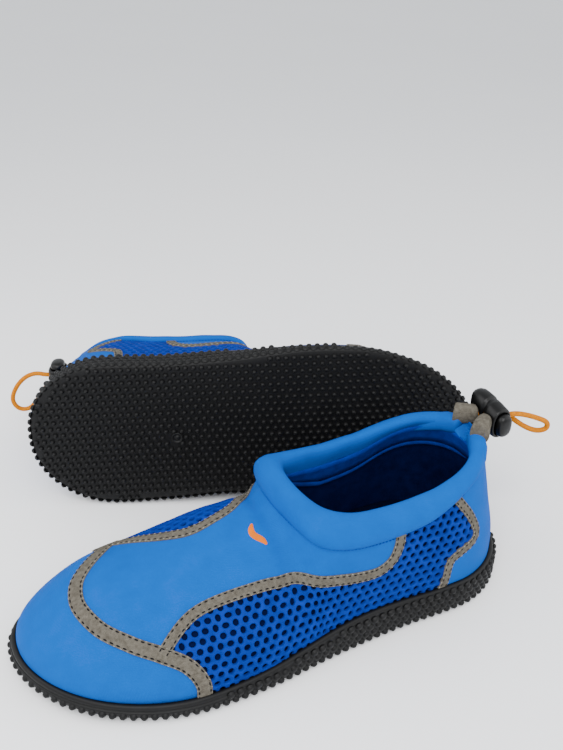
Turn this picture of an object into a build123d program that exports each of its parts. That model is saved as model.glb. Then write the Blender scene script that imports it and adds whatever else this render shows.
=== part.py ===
from build123d import *
from math import cos, hypot, pi, radians, sin, tan
import os

os.makedirs("parts", exist_ok=True)

# A pair of water shoes: neoprene and mesh uppers, padded collars closed by a cord and a cord lock
# at the heel, and studded rubber cup soles. Millimetres. Each shoe is made in its own frame: heel
# at x = 0, toe towards +X, outer side towards +Y, ground at z = 0. The left shoe stands that way.
# The right shoe is its mirror image, laid on its inner side behind the left one.

# ---- the last: tables of (x, value), x along the shoe, and of (z, value), z up it
UPPER_LENGTH = 263.5
WIDEST_HEIGHT = 12.0
LATERAL_HALF = [(0, 37), (40, 42.5), (80, 41.5), (120, 41.5), (160, 45.5), (190, 47.5), (220, 48), (268, 47)]
MEDIAL_HALF = [(0, 37), (40, 42.5), (80, 42.5), (120, 42.5), (160, 47.5), (190, 49), (220, 48), (268, 44)]
MIDDLE = [(0, 1), (40, 0), (80, 0.5), (120, 2.5), (160, 2.5), (190, 0), (220, -5), (250, -10.5), (268, -16)]
LEAN = [(0, 0), (80, 0), (115, -4), (150, -10), (180, -10.5), (210, -7), (240, -3), (268, 0)]
CREST = [(0, 112), (60, 110), (95, 109), (112, 105), (123, 90), (131, 68), (145, 61.5), (160, 58.5),
         (180, 52.5), (200, 47), (220, 44), (240, 40), (268, 35.5)]
HEEL_CURVE = [(0, -1), (12, 0), (30, 0.5), (50, 5), (70, 9), (90, 12.5)]
HEEL_CURVE_REACH = 90.0
INSTEP_START = 142.0
LATERAL_FULLNESS = (1.9, 1.9)
MEDIAL_FULLNESS = (2.1, 2.15)

# ---- thicknesses, all measured from the outside of the upper's panels
TAPE = 1.0
PANEL = 2.5
LINING = 1.0
COLLAR_PROUD = 1.2
COLLAR_DEPTH = 8.0
SOLE_FLOOR = 7.0
SOCK = 1.5
FOOTBED = 3.5
LOFT_LEVELS = (SOLE_FLOOR, 12, 18, 24, 30, 36, 41, 46, 50, 54, 58, 62, 66, 71, 77, 84, 95)
OUTLINE_POINTS = 16

# ---- side views, (x, z)
COLLAR_SEAM = [(-25, 81), (5, 78), (25, 74.5), (43, 68.5), (62, 60.5), (80, 58), (99, 58), (116, 60.5),
               (125, 63), (132, 66.5), (150, 78)]
COLLAR_TOP = [(-25, 91), (0, 89), (20, 83), (45, 76), (70, 72.5), (95, 72.5), (115, 76), (130, 81), (150, 86)]
SOLE_WALL_TOP = [(-20, 17.5), (60, 17.5), (110, 18.5), (135, 14.5), (160, 11), (210, 9), (250, 12), (285, 15)]
TOE_SPRING = [(190, 0), (215, 0.5), (240, 2.2), (275, 5.5)]
LATERAL_SEAM = [(215, 22), (204, 31), (191.5, 38), (178, 42), (158, 45), (133, 45.5), (119.5, 45), (103, 42.2),
                (93, 41.5), (85, 45), (80.5, 52), (79, 60), (78.5, 76)]
MEDIAL_SEAM_SIDE = [(137, 56.6), (132, 54.3), (122, 51.3), (112, 48), (102, 44), (93, 42), (85, 45), (80.5, 52),
                    (79, 60), (78.5, 76)]
HEEL_SEAM = [(44, 76), (45.5, 70), (36, 56), (31, 45), (33.5, 40), (42, 36.5), (48.5, 32.5), (51, 21),
             (54.5, 12), (56, 4)]

# ---- plan views, (x, y)
TOE_SEAM = [(187.5, 62), (188.5, 51), (195.5, 42), (207, 33.7), (218.4, 25), (229, 13), (234.3, -2), (232.5, -14),
            (227, -22), (215, -33), (207, -41), (203, -50), (202.5, -62)]
MEDIAL_SEAM_PLAN = [(214, -44), (206, -38), (198.5, -32), (186, -21.5), (173, -14), (160, -13.5), (148, -17),
                    (139, -24), (131, -32)]

# ---- grey tapes
TAPE_WIDTH = 8.0
SIDE_TAPE_WIDTH = 6.5
HEEL_TAPE_WIDTH = 7.0

# ---- outsole: how far it stands out from the upper at each height
SOLE_FLARE = [(0, 3.5), (4, 4.5), (11, 4.2), (23, 2.5)]

SOLE_FLARE_TOP = 23.0

# ---- elastic cord: where its two strands run at the heel, and its tunnel round the collar
CORD = 3.0
TUNNEL = 4.6
TUNNEL_INSIDE = 3.4
TUNNEL_BELOW_TOP = 4.0
TUNNEL_STATIONS = (10, 20, 33, 50, 70, 92, 109, 119)
TUNNEL_NOSE = (125.2, -3.0, 75.5)
STRAND_Y = 4.0
STRAND_Z = 87.0
STRAND_END = -6.5
STRAND_TURN = 13.0
LEFT_LOOP = [(-10, 4, 87), (-14.5, 2, 87), (-20, -3, 85.5), (-27, -6, 80), (-31, -3, 74.5), (-30.5, 3, 73.5),
             (-26, 6, 76.5), (-20, 3.5, 80), (-14, -1.5, 83), (-10, -4, 87)]
RIGHT_LOOP = [(-10, 4, 87), (-17, 5, 88.5), (-25, 2, 89.5), (-32, -5, 89), (-36, -14, 87.5), (-32, -21, 86.5),
              (-24.5, -21.5, 87), (-19, -16, 88), (-15, -10, 88.5), (-10.5, -4, 87)]

# ---- cord lock: an oval housing across the two strands, with a sprung plunger in its outer end
LOCK_MIDDLE = -1.0
LOCK_DEPTH = 13.0
LOCK_HEIGHT = 14.0
LOCK_CORNER = 6.0
LOCK_INNER_END = -13.5
LOCK_OUTER_END = 9.8
LOCK_EDGE = 1.2
LOCK_HOLE = 3.7
PLUNGER = 9.0
PLUNGER_BORE = 9.4
PLUNGER_INNER_END = -6.5
PLUNGER_OUTER_END = 13.5
PLUNGER_DOME = 1.5
PLUNGER_SLOT = (6.2, 3.4)
PLUNGER_SLOTS = (-2.5, 5.5)
SPRING_SEAT = -11.7
SPRING_TURNS = 3.5
SPRING_RADIUS = 3.3
SPRING_WIRE = 0.6

# ---- grey tape ends of the collar, one round each strand
COLLAR_END = (8.0, 6.0, 12.0)
COLLAR_END_MIDDLE = 11.0

# ---- printed mark on the instep: one wave across the shoe, in the plan view
MARK = 0.6
MARK_CENTRE = (145.0, 7.0)
MARK_LENGTH = 13.0
MARK_SWING = 2.0
MARK_WIDTH = 3.6

# ---- where each shoe stands: the pair's own origin, and the right shoe's pose
ORIGIN = (119.5, -86.5)
RIGHT_CENTRE = (99.5, -84.0, 52.3)
RIGHT_TURNS = (-96.0, -2.5, 156.0)
SHOE_CENTRE = 134.0


# ---------------------------------------------------------------- the shape of the last
def smooth(table, at):
    """Value of the smooth curve through a table's points."""
    xs = [point[0] for point in table]
    ys = [point[1] for point in table]
    gaps = [b - a for a, b in zip(xs, xs[1:])]
    rises = [(b - a) / gap for a, b, gap in zip(ys, ys[1:], gaps)]
    inner = [(r * h + s * g) / (g + h) for r, s, g, h in zip(rises, rises[1:], gaps, gaps[1:])]
    slopes = [rises[0], *inner, rises[-1]]
    i = max(k for k in range(len(gaps)) if k == 0 or xs[k] <= at)
    u = min(max((at - xs[i]) / gaps[i], 0.0), 1.0)
    start = ys[i] * (1 + 2 * u) * (1 - u) ** 2 + slopes[i] * gaps[i] * u * (1 - u) ** 2
    end = ys[i + 1] * u * u * (3 - 2 * u) + slopes[i + 1] * gaps[i] * u * u * (u - 1)
    return start + end


def rounded(distance, reach, power):
    """1 well inside an end, falling to 0 at the end as part of a superellipse."""
    t = min(max(distance / reach, 0.0), 1.0)
    return (1 - t**power) ** (1 / power)


def half_width(x, side, grow):
    """Half width at the widest height, side +1 outer or -1 inner, grown by a thickness."""
    heel = rounded(42 - x, 42 + grow, 2.3)
    toe = rounded(x - 190, UPPER_LENGTH + grow - 190, 2.15)
    return (smooth(LATERAL_HALF if side > 0 else MEDIAL_HALF, x) + grow) * heel * toe


def crest(x, grow):
    """Height of the ridge of the last, grown upwards on the instep and forwards on the steep shin side."""
    steep = min(max((INSTEP_START - x) / 15, 0.0), 1.0)
    toe = rounded(x - 215, UPPER_LENGTH + grow - 215, 2.4)
    ridge = smooth(CREST, x - grow * steep) + grow * (1 - steep)
    return WIDEST_HEIGHT + (ridge - WIDEST_HEIGHT) * toe


def wall(x, z, side, grow=0.0):
    """A point of the upper at station x and height z."""
    rise = max(crest(x, grow) - WIDEST_HEIGHT, 1e-6)
    t = min(max((z - WIDEST_HEIGHT) / rise, 0.0), 1.0)
    power, root = LATERAL_FULLNESS if side > 0 else MEDIAL_FULLNESS
    spread = half_width(x, side, grow) * (1 - t**power) ** (1 / root)
    y = smooth(MIDDLE, x) + smooth(LEAN, x) * t**1.5 + side * spread
    forward = smooth(HEEL_CURVE, z) * min(max(1 - x / HEEL_CURVE_REACH, 0.0), 1.0) ** 1.5
    return (x + forward, y, z)


def roof(x, y, grow=0.0):
    """The point of the upper above a point of the plan."""
    side = 1 if y > smooth(MIDDLE, x) + smooth(LEAN, x) else -1
    low, high = WIDEST_HEIGHT, crest(x, grow)
    for _ in range(30):
        middle = (low + high) / 2
        outside = side * (wall(x, middle, side, grow)[1] - y) < 0
        low, high = (low, middle) if outside else (middle, high)
    return (x, y, (low + high) / 2)


def outline(z, grow):
    """Points of the upper's closed outline at one height, from the heel round the toe and back."""
    stations = [-grow + (UPPER_LENGTH + 2 * grow) * k / 600 for k in range(601)]
    nose = max(x for x in stations if crest(x, grow) >= z)
    xs = [-grow + (nose + grow) * (1 - cos(pi * k / (OUTLINE_POINTS - 1))) / 2 for k in range(OUTLINE_POINTS)]
    outer = [wall(x, z, 1, grow)[:2] for x in xs]
    inner = [wall(x, z, -1, grow)[:2] for x in xs[1:-1]]
    return outer + inner[::-1]


def closed_curve(points):
    """A smooth closed curve, with its points at the same parameters at every height."""
    guide = outline(WIDEST_HEIGHT, 0)
    steps = [hypot(b[0] - a[0], b[1] - a[1]) for a, b in zip(guide, guide[1:] + guide[:1])]
    parameters = [sum(steps[:k]) / sum(steps) for k in range(len(points) + 1)]
    return Edge.make_spline([Vector(*point) for point in points], periodic=True, parameters=parameters)


def last_volume(grow, levels=LOFT_LEVELS):
    """The last as a solid, grown or shrunk by a thickness, cut off above the collar."""
    with BuildPart() as volume:
        for z in levels:
            with BuildSketch(Plane.XY.offset(z)):
                with BuildLine():
                    add(closed_curve(outline(z, grow)))
                make_face()
        loft()
    return volume.part


def profile(plane, curve, corners):
    """A face on a plane, between a smooth curve and straight lines through the given corners."""
    with BuildSketch(plane) as sketch:
        with BuildLine():
            Spline(curve)
            Polyline(curve[-1], *corners, curve[0])
        make_face()
    return sketch.sketch


# ---------------------------------------------------------------- profiles that cut the upper into panels
BIG = 130.0
far_side = Plane.XZ.offset(-BIG)
below_collar = profile(far_side, COLLAR_SEAM, [(300, 78), (300, -5), (-25, -5)])
toe_plan = profile(Plane.XY, TOE_SEAM, [(320, -62), (320, 62)])
heel_side = profile(far_side, HEEL_SEAM, [(-30, 4), (-30, 95), (44, 95)])
lateral_mesh_side = profile(far_side, LATERAL_SEAM, [(-30, 76), (-30, -5), (215, -5)])
medial_mesh_side = profile(Plane.XZ, MEDIAL_SEAM_SIDE, [(-30, 76), (-30, -5), (137, -5)])
medial_mesh_plan = profile(Plane.XY, MEDIAL_SEAM_PLAN, [(131, -90), (214, -90)])

# ---------------------------------------------------------------- upper
panel_outside = last_volume(0)
panel_inside = last_volume(-PANEL)
cavity = last_volume(-PANEL - LINING)
tape_outside = last_volume(TAPE)

with BuildPart() as shell:
    add(panel_outside)
    add(panel_inside, mode=Mode.SUBTRACT)
    extrude(below_collar, amount=2 * BIG, mode=Mode.INTERSECT)

with BuildPart() as toe_panel:
    add(shell.part)
    extrude(toe_plan, amount=BIG, mode=Mode.INTERSECT)

with BuildPart() as rear_shell:
    add(shell.part)
    extrude(toe_plan, amount=BIG, mode=Mode.SUBTRACT)

with BuildPart() as heel_panel:
    add(rear_shell.part)
    extrude(heel_side, amount=2 * BIG, mode=Mode.INTERSECT)

with BuildPart() as side_shell:
    add(rear_shell.part)
    extrude(heel_side, amount=2 * BIG, mode=Mode.SUBTRACT)

with BuildPart() as mesh_lateral:
    add(side_shell.part)
    extrude(lateral_mesh_side, amount=BIG, mode=Mode.INTERSECT)

with BuildPart() as medial_side:
    extrude(medial_mesh_side, amount=BIG)
    extrude(medial_mesh_plan, amount=BIG)

with BuildPart() as mesh_medial:
    add(side_shell.part)
    add(medial_side.part, mode=Mode.INTERSECT)

with BuildPart() as vamp_panel:
    add(side_shell.part)
    extrude(lateral_mesh_side, amount=BIG, mode=Mode.SUBTRACT)
    add(medial_side.part, mode=Mode.SUBTRACT)

# Lining: the dark textile behind every panel, down to the sock and up to the collar.
with BuildPart() as lining:
    add(panel_inside)
    add(cavity, mode=Mode.SUBTRACT)
    extrude(below_collar, amount=2 * BIG, mode=Mode.INTERSECT)
    split(bisect_by=Plane.XY.offset(SOLE_FLOOR + SOCK), keep=Keep.TOP)

# Lasting sock: the fabric floor that closes the upper, glued into the sole.
with BuildPart() as lasting_sock:
    add(panel_inside)
    split(bisect_by=Plane.XY.offset(SOLE_FLOOR + SOCK), keep=Keep.BOTTOM)

# Insole: the foam footbed on top of the sock.
with BuildPart() as insole:
    add(cavity)
    split(bisect_by=Plane.XY.offset(SOLE_FLOOR + SOCK), keep=Keep.TOP)
    split(bisect_by=Plane.XY.offset(SOLE_FLOOR + SOCK + FOOTBED), keep=Keep.BOTTOM)

# ---------------------------------------------------------------- grey tapes stitched over the seams
above_sole = profile(far_side, SOLE_WALL_TOP, [(285, 140), (-20, 140)])
with BuildPart() as tape_zone:
    extrude(below_collar, amount=2 * BIG)
    extrude(above_sole, amount=2 * BIG, mode=Mode.INTERSECT)

with BuildPart() as tape_core:
    add(panel_outside)
    add(tape_zone.part, mode=Mode.INTERSECT)

with BuildPart() as tape_layer:
    add(tape_outside)
    add(tape_zone.part, mode=Mode.INTERSECT)
    add(tape_core.part, mode=Mode.SUBTRACT)


def strip(plane, seam, width):
    """The band of one width along a seam drawn on a plane."""
    with BuildSketch(plane) as band:
        with BuildLine():
            Spline(seam)
        trace(line_width=width)
    return band.sketch


toe_strip = strip(Plane.XY, TOE_SEAM, TAPE_WIDTH)
lateral_strip = strip(far_side, LATERAL_SEAM, SIDE_TAPE_WIDTH)
medial_side_strip = strip(Plane.XZ, MEDIAL_SEAM_SIDE, SIDE_TAPE_WIDTH)
medial_plan_strip = strip(Plane.XY, MEDIAL_SEAM_PLAN, SIDE_TAPE_WIDTH)
heel_strip_lateral = strip(far_side, HEEL_SEAM, HEEL_TAPE_WIDTH)
heel_strip_medial = strip(Plane.XZ, HEEL_SEAM, HEEL_TAPE_WIDTH)

with BuildPart() as toe_band:
    add(tape_layer.part)
    extrude(toe_strip, amount=BIG, mode=Mode.INTERSECT)

with BuildPart() as side_band_lateral:
    add(tape_layer.part)
    extrude(lateral_strip, amount=BIG, mode=Mode.INTERSECT)
    extrude(toe_plan, amount=BIG, mode=Mode.SUBTRACT)
    extrude(toe_strip, amount=BIG, mode=Mode.SUBTRACT)

with BuildPart() as medial_prism:
    extrude(medial_side_strip, amount=BIG)
    extrude(medial_plan_strip, amount=BIG)

with BuildPart() as side_band_medial:
    add(tape_layer.part)
    add(medial_prism.part, mode=Mode.INTERSECT)
    extrude(toe_plan, amount=BIG, mode=Mode.SUBTRACT)
    extrude(toe_strip, amount=BIG, mode=Mode.SUBTRACT)

with BuildPart() as heel_band_lateral:
    add(tape_layer.part)
    extrude(heel_strip_lateral, amount=BIG, mode=Mode.INTERSECT)

with BuildPart() as heel_band_medial:
    add(tape_layer.part)
    extrude(heel_strip_medial, amount=BIG, mode=Mode.INTERSECT)

# ---------------------------------------------------------------- padded collar and its cord tunnel
with BuildSketch(far_side) as collar_side:
    with BuildLine():
        Spline(COLLAR_SEAM)
        Spline(COLLAR_TOP)
        Line(COLLAR_SEAM[0], COLLAR_TOP[0])
        Line(COLLAR_SEAM[-1], COLLAR_TOP[-1])
    make_face()


def tunnel_point(station, side):
    """The middle of the cord tunnel at one station of the collar."""
    x = wall(station, STRAND_Z, side)[0]
    return wall(station, smooth(COLLAR_TOP, x) - TUNNEL_BELOW_TOP, side, -TUNNEL_INSIDE)


def corner_radii(points):
    """The radius of each corner's arc: as large as the corner's two runs allow."""
    radii = []
    for before, corner, after in zip(points, points[1:], points[2:]):
        first = Vector(corner) - Vector(before)
        second = Vector(after) - Vector(corner)
        half_turn = radians(first.get_angle(second) / 2)
        radii.append(0.45 * min(first.length, second.length) / tan(half_turn))
    return radii


def tube(points, diameter):
    """A round tube along straight runs joined by arcs."""
    with BuildPart() as body:
        with BuildLine() as route:
            FilletPolyline(*points, radius=corner_radii(points))
        with BuildSketch(Plane(origin=points[0], z_dir=Vector(points[1]) - Vector(points[0]))):
            Circle(diameter / 2)
        sweep()
    return body.part


outer_strand = [(STRAND_END, STRAND_Y, STRAND_Z), (STRAND_TURN, STRAND_Y, STRAND_Z)]
inner_strand = [(STRAND_TURN, -STRAND_Y, STRAND_Z), (STRAND_END, -STRAND_Y, STRAND_Z)]
outer_half = [tunnel_point(station, 1) for station in TUNNEL_STATIONS]
inner_half = [tunnel_point(station, -1) for station in TUNNEL_STATIONS[::-1]]
cord_route = [*outer_strand, *outer_half, TUNNEL_NOSE, *inner_half, *inner_strand]
tunnel = tube(cord_route, TUNNEL)

with BuildPart() as elastic_cord:
    add(tube(cord_route, CORD))

with BuildPart() as collar_ends:
    with Locations((COLLAR_END_MIDDLE, STRAND_Y, STRAND_Z), (COLLAR_END_MIDDLE, -STRAND_Y, STRAND_Z)):
        Box(*COLLAR_END)
    fillet(collar_ends.edges().filter_by(Axis.Y), radius=1.5)
    add(tunnel, mode=Mode.SUBTRACT)

with BuildPart() as collar_end_lateral:
    add(collar_ends.part)
    split(bisect_by=Plane.XZ, keep=Keep.BOTTOM)

with BuildPart() as collar_end_medial:
    add(collar_ends.part)
    split(bisect_by=Plane.XZ, keep=Keep.TOP)

with BuildPart() as collar_hollow:
    add(last_volume(-COLLAR_DEPTH))
    extrude(collar_side.sketch, amount=2 * BIG, mode=Mode.INTERSECT)

with BuildPart() as collar:
    add(last_volume(COLLAR_PROUD))
    extrude(collar_side.sketch, amount=2 * BIG, mode=Mode.INTERSECT)
    add(collar_hollow.part, mode=Mode.SUBTRACT)
    with Locations((COLLAR_END_MIDDLE, STRAND_Y, STRAND_Z), (COLLAR_END_MIDDLE, -STRAND_Y, STRAND_Z)):
        Box(*COLLAR_END, mode=Mode.SUBTRACT)
    add(tunnel, mode=Mode.SUBTRACT)

# ---------------------------------------------------------------- outsole
sole_levels = [level for level, _ in SOLE_FLARE] + [SOLE_FLARE_TOP]
below_wall_top = profile(far_side, SOLE_WALL_TOP, [(285, -10), (-20, -10)])
toe_spring_cut = profile(far_side, TOE_SPRING, [(275, -10), (190, -10)])
with BuildPart() as outsole:
    for level in sole_levels:
        with BuildSketch(Plane.XY.offset(level)):
            with BuildLine():
                add(closed_curve(outline(WIDEST_HEIGHT, smooth(SOLE_FLARE, level))))
            make_face()
    loft()
    extrude(below_wall_top, amount=2 * BIG, mode=Mode.INTERSECT)
    extrude(toe_spring_cut, amount=2 * BIG, mode=Mode.SUBTRACT)
    add(panel_outside, mode=Mode.SUBTRACT)

# ---------------------------------------------------------------- printed mark
wave = [(MARK_CENTRE[0] + MARK_SWING * sin(1.5 * pi * share), MARK_CENTRE[1] + (share - 0.5) * MARK_LENGTH)
        for share in (0, 0.25, 0.5, 0.75, 1)]
with BuildPart() as instep_mark:
    extrude(strip(Plane.XY, wave, MARK_WIDTH), amount=BIG)
    add(last_volume(MARK), mode=Mode.INTERSECT)
    add(panel_outside, mode=Mode.SUBTRACT)

# ---------------------------------------------------------------- cord lock
lock_axis = (LOCK_MIDDLE, STRAND_Z)
with BuildPart() as lock_body:
    with BuildSketch(Plane.XZ.offset(-LOCK_INNER_END)):
        with Locations(lock_axis):
            RectangleRounded(LOCK_DEPTH, LOCK_HEIGHT, LOCK_CORNER)
    extrude(amount=LOCK_INNER_END - LOCK_OUTER_END)
    fillet(lock_body.edges().filter_by(GeomType.LINE, reverse=True).group_by(Axis.Y)[0], radius=LOCK_EDGE)
    with BuildSketch(Plane.XZ.offset(-LOCK_OUTER_END)):
        with Locations(lock_axis):
            Circle(PLUNGER_BORE / 2)
    extrude(amount=LOCK_OUTER_END - SPRING_SEAT, mode=Mode.SUBTRACT)
    with BuildSketch(Plane.YZ.offset(LOCK_MIDDLE)):
        with Locations((STRAND_Y, STRAND_Z), (-STRAND_Y, STRAND_Z)):
            Circle(LOCK_HOLE / 2)
    extrude(amount=LOCK_DEPTH, both=True, mode=Mode.SUBTRACT)

with BuildPart() as lock_plunger:
    with BuildSketch(Plane.XZ.offset(-PLUNGER_INNER_END)):
        with Locations(lock_axis):
            Circle(PLUNGER / 2)
    extrude(amount=PLUNGER_INNER_END - PLUNGER_OUTER_END)
    fillet(lock_plunger.edges().group_by(Axis.Y)[-1], radius=PLUNGER_DOME)
    with BuildSketch(Plane.YZ.offset(LOCK_MIDDLE)):
        with Locations(*[(y, STRAND_Z) for y in PLUNGER_SLOTS]):
            RectangleRounded(*PLUNGER_SLOT, CORD / 2)
    extrude(amount=LOCK_DEPTH, both=True, mode=Mode.SUBTRACT)

spring_length = PLUNGER_INNER_END - SPRING_SEAT - SPRING_WIRE
spring_start = (LOCK_MIDDLE, SPRING_SEAT + SPRING_WIRE / 2, STRAND_Z)
with BuildPart() as lock_spring:
    with BuildLine() as coil:
        Helix(spring_length / SPRING_TURNS, spring_length, SPRING_RADIUS, center=spring_start, direction=(0, 1, 0))
    with BuildSketch(Plane(coil.line @ 0, z_dir=coil.line % 0)):
        Circle(SPRING_WIRE / 2)
    sweep(is_frenet=True)

# ---------------------------------------------------------------- both shoes
loop_ends = [(STRAND_END, STRAND_Y, STRAND_Z), (STRAND_END, -STRAND_Y, STRAND_Z)]
left_loop_route = [loop_ends[0], *LEFT_LOOP, loop_ends[1]]
right_loop_route = [loop_ends[0], *RIGHT_LOOP, loop_ends[1]]
pieces = {
    "outsole": outsole,
    "lasting_sock": lasting_sock,
    "insole": insole,
    "toe_panel": toe_panel,
    "vamp_panel": vamp_panel,
    "mesh_lateral": mesh_lateral,
    "mesh_medial": mesh_medial,
    "heel_panel": heel_panel,
    "toe_band": toe_band,
    "side_band_lateral": side_band_lateral,
    "side_band_medial": side_band_medial,
    "heel_band_lateral": heel_band_lateral,
    "heel_band_medial": heel_band_medial,
    "collar": collar,
    "collar_end_lateral": collar_end_lateral,
    "collar_end_medial": collar_end_medial,
    "lining": lining,
    "instep_mark": instep_mark,
    "elastic_cord": elastic_cord,
    "lock_body": lock_body,
    "lock_plunger": lock_plunger,
    "lock_spring": lock_spring,
}
left_place = Location((-ORIGIN[0], -ORIGIN[1], 0))
right_turns = Rot(Z=RIGHT_TURNS[2]) * Rot(Y=RIGHT_TURNS[1]) * Rot(X=RIGHT_TURNS[0])
right_place = left_place * Pos(*RIGHT_CENTRE) * right_turns * Pos(-SHOE_CENTRE, 0, 0)


def write(name, solid, place):
    """Write one piece where its shoe stands. Only the coil needs its edges written on its faces too."""
    with BuildPart() as placed:
        with Locations(place):
            add(solid)
    placed.part.label = name
    export_step(placed.part, f"parts/{name}.step", write_pcurves=name.endswith("spring"))


def report_cord(name, points, solid):
    """Print a cord's length, its corner radii and how its volume compares with section times length."""
    length = solid.volume / (pi * CORD**2 / 4)
    route = FilletPolyline(*points, radius=corner_radii(points))
    radii = [round(radius, 1) for radius in corner_radii(points)]
    print(f"{name}: path {route.length:.1f} mm, volume over section {length:.1f} mm, radii {radii}")


for name, piece in pieces.items():
    whole = piece.part.solids().sort_by(SortBy.VOLUME)[-1]
    write(f"left_{name}", whole, left_place)
    write(f"right_{name}", whole.mirror(Plane.XZ), right_place)

left_loop = tube(left_loop_route, CORD)
right_loop = tube(right_loop_route, CORD)
write("left_cord_loop", left_loop, left_place)
write("right_cord_loop", right_loop.mirror(Plane.XZ), right_place)

report_cord("elastic cord", cord_route, elastic_cord.part)
report_cord("left loop", left_loop_route, left_loop)
report_cord("right loop", right_loop_route, right_loop)
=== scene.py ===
import bmesh
import bpy
import math
import numpy as np
from mathutils import Matrix, Vector


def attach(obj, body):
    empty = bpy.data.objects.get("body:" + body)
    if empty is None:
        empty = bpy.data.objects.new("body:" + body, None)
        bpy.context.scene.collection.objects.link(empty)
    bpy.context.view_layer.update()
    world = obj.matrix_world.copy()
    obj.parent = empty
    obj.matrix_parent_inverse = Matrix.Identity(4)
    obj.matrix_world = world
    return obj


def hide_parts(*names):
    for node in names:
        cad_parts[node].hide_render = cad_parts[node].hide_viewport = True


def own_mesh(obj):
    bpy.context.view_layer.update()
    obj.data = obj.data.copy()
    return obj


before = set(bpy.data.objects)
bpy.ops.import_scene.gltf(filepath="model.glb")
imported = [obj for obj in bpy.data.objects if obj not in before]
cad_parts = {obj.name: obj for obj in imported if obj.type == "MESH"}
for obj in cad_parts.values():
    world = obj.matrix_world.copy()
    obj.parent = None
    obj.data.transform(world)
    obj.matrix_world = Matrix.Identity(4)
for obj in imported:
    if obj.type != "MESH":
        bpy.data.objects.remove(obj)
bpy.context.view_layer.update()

# A pair of water shoes. Shapes are worked out in millimetres in each shoe's own frame (heel at
# x = 0, toe towards +X, outer side towards +Y, ground at z = 0) and placed in metres.
MM = 0.001

# ---- where each shoe stands
ORIGIN = (119.5, -86.5, 0.0)
RIGHT_CENTRE = (99.5, -84.0, 52.3)
RIGHT_TURNS = (-96.0, -2.5, 156.0)
SHOE_CENTRE = 134.0

# ---- the last: tables of (x, value), x along the shoe, and of (z, value), z up it
UPPER_LENGTH = 263.5
WIDEST_HEIGHT = 12.0
LATERAL_HALF = [(0, 37), (40, 42.5), (80, 41.5), (120, 41.5), (160, 45.5), (190, 47.5), (220, 48),
                (268, 47)]
MEDIAL_HALF = [(0, 37), (40, 42.5), (80, 42.5), (120, 42.5), (160, 47.5), (190, 49), (220, 48),
               (268, 44)]
MIDDLE = [(0, 1), (40, 0), (80, 0.5), (120, 2.5), (160, 2.5), (190, 0), (220, -5), (250, -10.5),
          (268, -16)]
LEAN = [(0, 0), (80, 0), (115, -4), (150, -10), (180, -10.5), (210, -7), (240, -3), (268, 0)]
CREST = [(0, 112), (60, 110), (95, 109), (112, 105), (123, 90), (131, 68), (145, 61.5),
         (160, 58.5), (180, 52.5), (200, 47), (220, 44), (240, 40), (268, 35.5)]
HEEL_CURVE = [(0, -1), (12, 0), (30, 0.5), (50, 5), (70, 9), (90, 12.5)]
HEEL_CURVE_REACH = 90.0
INSTEP_START, INSTEP_BLEND = 142.0, 15.0
FULLNESS = {1: (1.9, 1.9), -1: (2.1, 2.15)}
HEEL_ROUND, HEEL_POWER = 42.0, 2.3
TOE_ROUND, TOE_POWER = 190.0, 2.15
TOE_DROP, TOE_DROP_POWER = 215.0, 2.4

# ---- seams: side views (x, z) and plan views (x, y)
COLLAR_SEAM = [(-25, 81), (5, 78), (25, 74.5), (43, 68.5), (62, 60.5), (80, 58), (99, 58),
               (116, 60.5), (125, 63), (132, 66.5), (150, 78)]
COLLAR_TOP = [(-25, 91), (0, 89), (20, 83), (45, 76), (70, 72.5), (95, 72.5), (115, 76), (130, 81),
              (150, 86)]
SOLE_TOP = [(-20, 17.5), (60, 17.5), (110, 18.5), (135, 14.5), (160, 11), (210, 9), (250, 12),
            (285, 15)]
TOE_SPRING = [(190, 0), (215, 0.5), (240, 2.2), (275, 5.5)]
LATERAL_SEAM = [(215, 22), (204, 31), (191.5, 38), (178, 42), (158, 45), (133, 45.5), (119.5, 45),
                (103, 42.2), (93, 41.5), (85, 45), (80.5, 52), (79, 60), (78.5, 76)]
MEDIAL_SEAM_SIDE = [(137, 56.6), (132, 54.3), (122, 51.3), (112, 48), (102, 44), (93, 42),
                    (85, 45), (80.5, 52), (79, 60), (78.5, 76)]
HEEL_SEAM = [(44, 76), (45.5, 70), (36, 56), (31, 45), (33.5, 40), (42, 36.5), (48.5, 32.5),
             (51, 21), (54.5, 12), (56, 4)]
TOE_SEAM = [(187.5, 62), (188.5, 51), (195.5, 42), (207, 33.7), (218.4, 25), (229, 13),
            (234.3, -2), (232.5, -14), (227, -22), (215, -33), (207, -41), (203, -50),
            (202.5, -62)]
MEDIAL_SEAM_PLAN = [(214, -44), (206, -38), (198.5, -32), (186, -21.5), (173, -14), (160, -13.5),
                    (148, -17), (139, -24), (131, -32)]
# what closes each seam's line round the panel behind it
LATERAL_CLOSE = [(-30, 76), (-30, -5), (215, -5)]
MEDIAL_CLOSE = [(-30, 76), (-30, -5), (137, -5)]
MEDIAL_PLAN_CLOSE = [(131, -90), (214, -90)]
HEEL_CLOSE = [(-30, 4), (-30, 95), (44, 95)]
TOE_OUTLINE = TOE_SEAM + [(320, -62), (320, 62)]
COLLAR_OVERLAP = 2.5

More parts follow.
